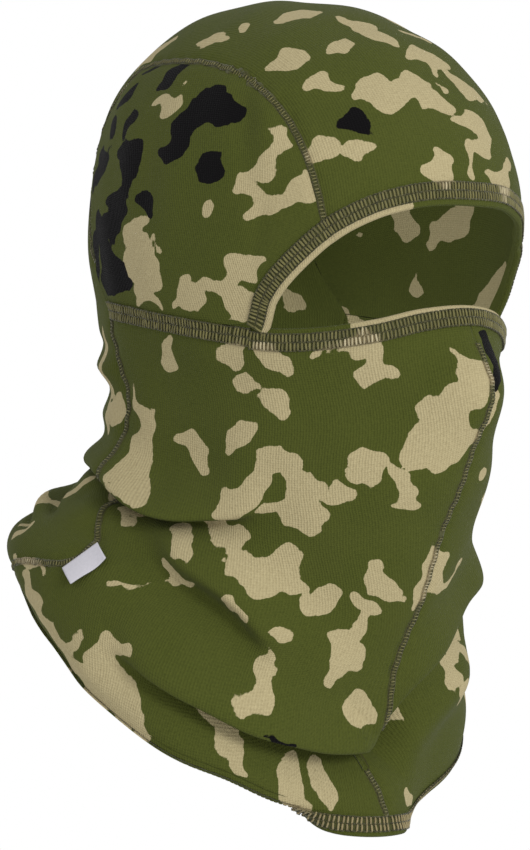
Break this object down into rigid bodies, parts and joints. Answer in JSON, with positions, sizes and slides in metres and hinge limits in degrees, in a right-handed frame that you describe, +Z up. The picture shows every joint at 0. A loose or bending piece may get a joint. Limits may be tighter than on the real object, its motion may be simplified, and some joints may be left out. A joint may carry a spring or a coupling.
{
  "type": "balaclava",
  "caption": "One-hole knitted balaclava with a camouflage print, a pull-down mask over nose and mouth, and a long gathered neck bib, shaped as worn.",
  "frame": {"origin": "midway between the wearer's ears, in the middle of the head that fills the hood", "axes": "+Z up to the crown, -Y the way the face looks, -X the wearer's right ear"},
  "size_m": [0.2023, 0.2463, 0.3451],
  "materials": {
    "camouflage_jersey": "matte knitted jersey printed in green, sand and black",
    "overlock_thread": "olive and tan spun polyester thread",
    "woven_label": "white woven satin, plain"
  },
  "bodies": {
    "hood": {"bottom_hem": "camouflage_jersey", "bottom_hem_stitches": "overlock_thread", "brow_hem": "camouflage_jersey", "brow_hem_stitches": "overlock_thread", "centre_panel": "camouflage_jersey", "cheek_seam_left": "overlock_thread", "cheek_seam_right": "overlock_thread", "crown_seam_left": "overlock_thread", "crown_seam_right": "overlock_thread", "face_front_seam": "overlock_thread", "face_panel_left": "camouflage_jersey", "face_panel_right": "camouflage_jersey", "neck_front_seam": "overlock_thread", "neck_panel_left": "camouflage_jersey", "neck_panel_right": "camouflage_jersey", "side_panel_left": "camouflage_jersey", "side_panel_right": "camouflage_jersey", "side_seam_left": "overlock_thread", "side_seam_right": "overlock_thread"},
    "mask_edge": {"mask_hem": "camouflage_jersey", "mask_hem_stitches": "overlock_thread"},
    "label": {"care_label": "woven_label"}
  },
  "joints": [
    {"name": "mask_pull_down", "type": "slide", "parent": "hood", "child": "mask_edge", "axis": [0, -0.2, -0.9798], "range_m": [0, 0.055], "deforming": ["face_panel_right", "face_panel_left", "face_front_seam"]},
    {"name": "label_flap", "type": "hinge", "parent": "hood", "child": "label", "pos_m": [-0.09278, 0.03592, -0.09461], "axis": [-0.5368, 0.6072, -0.5858], "range_deg": [0, 80]}
  ]
}
